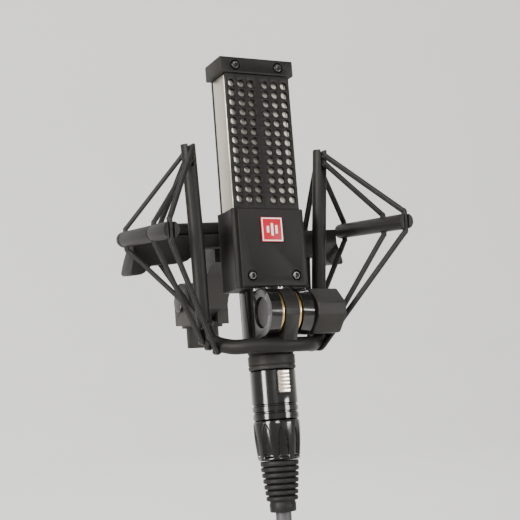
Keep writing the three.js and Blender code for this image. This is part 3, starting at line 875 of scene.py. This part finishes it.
def add_stem():
    low, high = span("stem", MIC)
    body = rod(STEM_R, "Z", low.z, high.z + TOUCH, sides=128)
    outline = [*arc(AXIS_Y, AXIS_Z, EAR_R, 90, 270, 48), (-4, AXIS_Z - EAR_R), (-4, AXIS_Z + EAR_R)]
    ears = [prism(outline, "X", x, x + EAR_OUT - EAR_IN) for x in (-EAR_OUT, EAR_IN)]
    lug_room = rod(EAR_R + 0.5, "X", -EAR_IN, EAR_IN, AXIS_Y, AXIS_Z, 96)
    back = AXIS_Y + EAR_R + 0.5
    slot = box((-EAR_IN, back - 20, AXIS_Z - 12), (EAR_IN, back, AXIS_Z))
    bore = rod(PIVOT_BORE_R, "X", -12, 12, AXIS_Y, AXIS_Z, 40)
    recess = rod(6.4, "X", -11, -7, AXIS_Y, AXIS_Z, 64)
    stem = cut(join(body, *ears), lug_room, slot, bore, recess)
    place("stem_fine", soften(stem, 0.45, 3, 40), MIC, "microphone", "gloss_black", GLOSS_BLACK, "stem")


def add_tilt_bolt():
    """Flat head sunk in the left ear, with a shallow dish, on a plain shank."""
    low, high = span("tilt_bolt", MIC)
    dish = [(6 - i / 4, low.x + 0.55 * math.sin(math.pi / 2 * i / 24)) for i in range(25)]
    profile = [(0, dish[-1][1]), *reversed(dish), (6, -7.3), (2.5, -7.3), (2.5, high.x), (0, high.x)]
    bolt = lathe(profile, "X", AXIS_Y, AXIS_Z, 72)
    place("tilt_bolt_fine", bolt, MIC, "microphone", "steel", BOLT_GREY, "tilt_bolt", angle=30)


def add_thumb_knob():
    low, high = span("thumb_knob", MIC)
    points = []
    for a, b in ((-1, -1), (1, -1), (1, 1), (-1, 1)):
        pair = [(a * KNOB_HALF, b * KNOB_CORNER), (a * KNOB_CORNER, b * KNOB_HALF)]
        points += pair if a * b > 0 else pair[::-1]
    points = [(AXIS_Y + y, AXIS_Z + z) for y, z in points]
    knob = prism(points, "X", low.x, high.x)
    bore = rod(PIVOT_BORE_R, "X", low.x - 1, KNOB_BORE_END, AXIS_Y, AXIS_Z, 32)
    knob = soften(cut(knob, bore), 0.7, 4, 25)
    place("thumb_knob_fine", knob, MIC, "knob", "knob_grey", KNOB_GREY, "thumb_knob")


def add_washers():
    for node in ("washer_left", "washer_right"):
        low, high = span(node, CRADLE)
        middle = (low + high) / 2
        inner, outer = WASHER_R
        profile = [(inner, low.x), (outer, low.x), (outer, high.x), (inner, high.x), (inner, low.x)]
        washer = soften(lathe(profile, "X", middle.y, middle.z, 96), 0.15, 2)
        place(node + "_fine", washer, CRADLE, "cradle", "brass", BRASS, node)


def add_collar():
    low, high = span("collar", MIC)
    r = high.x
    profile = [(8.25, low.z), (r - 0.3, low.z), (r, low.z + 0.3), (r, low.z + 1.4), (r - 0.35, low.z + 1.6)]
    profile += [(r - 0.35, low.z + 1.9), (r - 0.05, low.z + 2.1), (r - 0.05, -119.8)]
    profile += [(r - 0.55, -119.5), (r - 0.55, -119), (r - 0.15, -118.7)]
    profile += [(r - 0.15, high.z - 0.3), (r - 0.5, high.z), (8.25, high.z), (8.25, low.z)]
    place("collar_fine", lathe(profile, sides=96), MIC, "microphone", "cast_black", CAST_BLACK, "collar")


# ---------- cradle ----------
ROD = 3.05
POST_X = 31
POST_Z = 35.7
SLOT_DEPTH = 9.4
BAR_X = 25.9
BAR_Z = -47.9
BAR_BOW = 17.2
MIC_X = 2.3
TILT_Y = -13.9
TILT_Z = -34.7


def cradle_side(s):
    return [
        (s * POST_X, 0, POST_Z),
        (s * (POST_X + BAR_X) / 2, 0, (POST_Z + BAR_Z) / 2),
        (s * (BAR_X + 0.85), 0, BAR_Z + 12),
        (s * (BAR_X - 1.1), -2.2, BAR_Z + 3.2),
        (s * (BAR_X - 7), -8, BAR_Z),
    ]


def add_cradle():
    middle = [(13, -14.6, BAR_Z), (MIC_X + 3.4, -BAR_BOW, BAR_Z)]
    middle += [(MIC_X - 5, -BAR_BOW, BAR_Z), (-12, -13.8, BAR_Z)]
    path = smooth_path([*cradle_side(1), *middle, *reversed(cradle_side(-1))], 1.6)
    frame_rod = sweep(path, ROD, 40)
    lug_foot = [(-BAR_BOW - 2.4, BAR_Z + 0.8), (-BAR_BOW + 2.8, BAR_Z + 0.8)]
    lug = [*arc(TILT_Y, TILT_Z, EAR_R, -12, 192, 48), *lug_foot]
    lug_body = prism(lug, "X", MIC_X - 3, MIC_X + 3)
    bore = rod(PIVOT_BORE_R, "X", MIC_X - 8, MIC_X + 8, TILT_Y, TILT_Z, 40)
    slots = [block((2.4, 9, 2 * SLOT_DEPTH), (s * POST_X, 0, POST_Z)) for s in (-1, 1)]
    whole = soften(cut(join(frame_rod, lug_body), bore, *slots), 0.35, 3, 42)
    place("cradle_frame_fine", whole, CRADLE, "cradle", "rod_black", ROD_BLACK, "cradle_frame")


# ---------- outer frame ----------
RAIL_X = 52.4
RAIL_Z = 49.5
RAIL_R = 3.3
HOLE_BORE = 1.6
HOLE_MOUTH = 0.6
TURNS_Y = (-98.3, -81.7, -48.5, -42)
BEAM_FRONT = -48


def add_rails():
    wide = RAIL_R + 1
    for node, s in (("rail_left", -1), ("rail_right", 1)):
        low, high = span(node, ROW)
        rail = rod(RAIL_R, "Y", low.y, high.y, s * RAIL_X, RAIL_Z, 72)
        slot = block((2.7, 4.6, 9), (s * RAIL_X, low.y + 1, RAIL_Z))
        holes = [rod(HOLE_BORE, "Z", RAIL_Z - 5, RAIL_Z + 5, s * RAIL_X, y, 32) for y in TURNS_Y[1:3]]
        mouths = [block((wide, HOLE_MOUTH, 9), (s * (RAIL_X + wide / 2), y, RAIL_Z)) for y in TURNS_Y[1:3]]
        rail = soften(cut(rail, slot, *holes, *mouths), 0.22, 3, 50)
        place(node + "_fine", rail, ROW, "outer_frame", "rod_black", ROD_BLACK, node)


def add_cross_beam():
    low, high = span("cross_beam", ROW)
    end = high.x
    arch = [(17, 44.4), (20, 43.2), (22.4, 41.2), (25, 39.4), (28, 38.5), (31, 38.3), (39, 38.3)]
    arch += [(41.4, 37.9), (43.2, 36.8), (44.4, 35.4), (45.8, 34.7), (47.4, 34.4), (50.6, 34.4)]
    arch += [(51.4, 34.8), (51.5, 35.6), (50.9, 38), (50, 41), (end + 0.1, 44), (end, 45.5), (end, 50.4)]
    outline = arch + [(-x, z) for x, z in reversed(arch)]
    beam = prism(outline, "Y", low.y + 0.3, high.y)
    holes = [rod(1.7, "Z", 30, 60, x, -42, 32) for x in (-36, 36)]
    beam = soften(cut(beam, *holes), 0.8, 3, 40)
    bar = rod(2.9, "X", -30.5, 30.5, BEAM_FRONT + 3.2, 52.8, 48, 1.2)
    place("cross_beam_fine", join(beam, bar), ROW, "outer_frame", "cast_black", CAST_BLACK, "cross_beam")


HINGE_Z = 21.4
HINGE_BORE_R = 2.8
BARREL_R = 9.25


def add_swivel_arm():
    rear = span("swivel_arm", ROW)[0].y
    web = [(rear, 50.3), (-27, 50.3), (-23.6, 49.8), (-20.5, 48.6), (-17, 46), (-14.4, 42.4), (-10.2, 33)]
    web += [(-9.9, 24.8), (-12.9, 17.8), (-16, 21.6), (-21, 28), (-25, 33), (-29.6, 36.8), (rear, 38.6)]
    body = prism(web, "X", -7, 7)
    neck = prism([(-11, 31.5), (0, HINGE_Z + BARREL_R), (0, HINGE_Z - BARREL_R), (-11, 17)], "X", -3.9, 3.9)
    barrel = rod(BARREL_R, "X", -3.9, 3.9, 0, HINGE_Z, 96)
    bore = rod(HINGE_BORE_R, "X", -12, 12, 0, HINGE_Z, 32)
    arm = soften(cut(join(body, neck, barrel), bore), 0.6, 3, 42)
    place("swivel_arm_fine", arm, ROW, "outer_frame", "cast_black", CAST_BLACK, "swivel_arm")


def add_stand_adapter():
    socket = rod(7.6, "Z", 0, 9.5, sides=96)
    flange = rod(9.6, "Z", 9.3, 11.8, sides=96)
    outline = [*arc(0, HINGE_Z, BARREL_R, 0, 180, 48), (-BARREL_R, 10.5), (BARREL_R, 10.5)]
    ears = [prism(outline, "X", x, x + 5.5) for x in (4.3, -9.8)]
    bores = [rod(4.75, "Z", -1, 8.5, sides=64), rod(HINGE_BORE_R, "X", -12, 12, 0, HINGE_Z, 32)]
    adapter = soften(cut(join(socket, flange, *ears), *bores), 0.5, 3, 42)
    place("stand_adapter_fine", adapter, ROW, "stand", "cast_black", CAST_BLACK, "stand_adapter")
    shank = rod(2.4, "X", -11, 11, 0, HINGE_Z, 32)
    head = rod(4.2, "X", -12.2, -10.1, 0, HINGE_Z, 48, 0.6)
    nut = prism(arc(0, HINGE_Z, 4.2, 0, 300, 5), "X", 10.1, 12.6)
    bolt = soften(join(shank, head, nut), 0.25, 2, 40)
    place("swivel_bolt_fine", bolt, ROW, "stand", "steel", STEEL, "swivel_bolt")


# ---------- elastic strands ----------
STRAND_R = 0.8
BRAID_PITCH = 2.2
PAIR = 0.76
FOOT_X = (22.2, 25.6, 27.6, 24.4)


def in_row(point):
    return CRADLE @ (Vector(point) * MM) / MM


def braid(distance, angle):
    """Radius of a plaited cover: two families of strands crossing over each other."""
    wind = 2 * math.pi * distance / BRAID_PITCH
    return STRAND_R + 0.11 * math.cos(4 * angle + wind) * math.cos(4 * angle - wind)


def bar_point(x, s):
    """Centre of the cradle's rod at the corner, at distance x from the middle."""
    corner = [(27.9, 0, BAR_Z + 9), (26.6, -0.6, BAR_Z + 6), (24.8, -2.2, BAR_Z + 3.2)]
    corner += [(22, -5.2, BAR_Z + 1), (18.9, -8, BAR_Z)]
    for (x0, y0, z0), (x1, y1, z1) in zip(corner, corner[1:]):
        if x0 >= x >= x1:
            k = (x0 - x) / (x0 - x1)
            return Vector((s * x, y0 + (y1 - y0) * k, z0 + (z1 - z0) * k))
    return Vector((s * x, 0, BAR_Z + 9))


def wrap_round_bar(s, x, turn, ahead):
    """Where a strand that comes from its turn lies against the bar and goes round behind it."""
    at = in_row(bar_point(x, s))
    along = (in_row(bar_point(x + 0.5, s)) - in_row(bar_point(x - 0.5, s))).normalized()
    up = turn - at
    up = (up - along * up.dot(along)).normalized()
    side = along.cross(up).normalized()
    if side.y * ahead < 0:
        side = -side
    out = ROD + STRAND_R - 0.15
    angles = [math.radians(a) for a in (80, 120, 160, 200, 235)]
    return [at + out * (math.cos(t) * up + math.sin(t) * side) for t in angles]


def strand_halves(s, index):
    """The two halves of one strand: from its turn up into the post's slot, and down round the bar."""
    x, y, z = (s * RAIL_X, TURNS_Y[index], RAIL_Z) if index < 3 else (s * 36, TURNS_Y[index], 46)
    rise = RAIL_R + 0.9 if index < 3 else 6.5
    ahead = -1 if index < 2 else 1
    level = POST_Z - (5.9 if index % 2 else 2.3)
    leave = ((0.2, 0.2), (2.6, 0.15), (3.9, -0.5))
    top = [in_row((s * POST_X, ahead * out, level + up)) for out, up in leave]
    upper = [*top, *[Vector((x, y, z + up)) for up in (rise, rise / 2, 0)]]
    foot = wrap_round_bar(s, FOOT_X[index], Vector((x, y, z)), ahead)
    lower = [*[Vector((x, y, z - down)) for down in (0, rise / 2, rise)], *foot]
    return taut(upper, 2, 3), taut(lower, 2, 3)


def taut(points, start, end):
    """Adds points on the long straight stretch between two neighbours, so that it stays straight."""
    a, b = Vector(points[start]), Vector(points[end])
    between = [a.lerp(b, k) for k in (0.04, 0.25, 0.5, 0.75, 0.96)]
    return [*points[: start + 1], *between, *points[end:]]


def beside(path, side):
    """The path moved sideways, along the rail, so that two cords lie next to each other."""
    out = []
    for k, p in enumerate(path):
        tangent = (path[min(k + 1, len(path) - 1)] - path[max(k - 1, 0)]).normalized()
        across = Vector((0, 1, 0)) - tangent * tangent.y
        out.append(p + across.normalized() * side)
    return out


def add_strands():
    for side, s in (("left", -1), ("right", 1)):
        for index in range(4):
            node = f"elastic_{side}_{index + 1}"
            upper, lower = strand_halves(s, index)
            for part, points, rail_end, cradle_end in (
                ("upper", upper, upper[-1], upper[2]),
                ("lower", lower, lower[0], lower[-5]),
            ):
                for twin, offset in (("a", -PAIR), ("b", PAIR)):
                    path = beside(smooth_path(points, 0.45), offset)
                    shape = sweep(path, STRAND_R, 20, braid)
                    name = f"{node}_{part}_{twin}"
                    piece = place(name, shape, ROW, None, "braided_elastic", ELASTIC, node, angle=80)
                    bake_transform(piece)


# ---------- stage ----------
FLOOR_Z = -0.325


def add_stage():
    """Pale round floor that curves up into a wall on all sides."""
    wall = 3.4
    height = 3.4
    curve = 1.4
    bend = arc(wall - curve, FLOOR_Z + curve, curve, -86, 0, 20)
    profile = [(0, FLOOR_Z), (wall - curve, FLOOR_Z), *bend, (wall, height)]
    sides = 96
    vertices = []
    for r, z in profile:
        turn = [2 * math.pi * i / sides for i in range(sides)]
        vertices += [(r * math.cos(t), r * math.sin(t), z) for t in turn]
    faces = []
    for k in range(len(profile) - 1):
        for i in range(sides):
            n = (i + 1) % sides
            faces.append((k * sides + i, k * sides + n, (k + 1) * sides + n, (k + 1) * sides + i))
    floor = mesh_object(vertices, faces)
    floor.name = "floor"
    for polygon in floor.data.polygons:
        polygon.use_smooth = True
    floor.data.materials.append(surface("studio_floor", (0.82, 0.81, 0.8), 0, 0.8, 3, vary=0.02, bump=0.0))


def add_light(name, azimuth, elevation, distance, size, power, colour=(1, 1, 1), aim=None):
    """A softbox that faces the microphone; azimuth 0 is in front of it, positive to its left."""
    data = bpy.data.lights.new(name, "AREA")
    data.shape = "RECTANGLE"
    data.size, data.size_y = size
    data.energy = power
    data.color = colour
    light = bpy.data.objects.new(name, data)
    a, e = math.radians(azimuth), math.radians(elevation)
    away = Vector((-math.sin(a) * math.cos(e), -math.cos(a) * math.cos(e), math.sin(e)))
    light.location = Vector((0, -0.06, 0.06)) + away * distance
    facing = light.location - Vector(aim) if aim else away
    light.rotation_euler = facing.to_track_quat("Z", "Y").to_euler()
    bpy.context.scene.collection.objects.link(light)


def add_lights():
    add_light("key", 73, 16, 1.1, (0.3, 0.8), 24, (1, 0.96, 0.91))
    add_light("front", 20, 22, 1.3, (0.35, 0.5), 9, (1, 0.98, 0.95))
    add_light("side", -38, 5, 1.25, (0.42, 0.2), 9)
    add_light("top", 30, 78, 1.4, (0.6, 0.6), 3)
    add_light("backdrop", 180, 50, 1.9, (3, 1), 70, aim=(0.8, 2.6, -0.1))
    add_light("backdrop_front", 0, 50, 1.9, (3, 1), 7, aim=(0, -3, -0.1))
    world = bpy.data.worlds.new("world")
    bpy.context.scene.world = world
    world.use_nodes = True
    world.node_tree.nodes["Background"].inputs["Color"].default_value = (0.86, 0.86, 0.87, 1)
    world.node_tree.nodes["Background"].inputs["Strength"].default_value = 0.14


def finish_cad_nodes():
    looks = {
        "magnet_nickel": MAGNET,
        "steel": STEEL,
        "ribbon_foil": FOIL,
        "brass": BRASS,
        "insert_black": INSERT,
    }
    slots = {row["node"]: row["material_slot"] for row in frame["record"]["subparts"]}
    for node in ("magnet_left", "magnet_right", "motor_frame", "ribbon", "ribbon_clamp_top",
                 "ribbon_clamp_bottom", "transformer", "socket_insert", "plug_insert"):
        mesh = frame["nodes"][node].data
        mesh.materials.clear()
        mesh.materials.append(looks[slots[node]])


add_top_cap()
add_grilles()
add_side_panels()
add_mesh_sheets()
add_lower_block()
add_emblem()
add_screws()
add_stem()
add_tilt_bolt()
add_thumb_knob()
add_washers()
add_collar()
add_cradle()
add_rails()
add_cross_beam()
add_swivel_arm()
add_stand_adapter()
add_strands()
finish_cad_nodes()
add_stage()
add_lights()
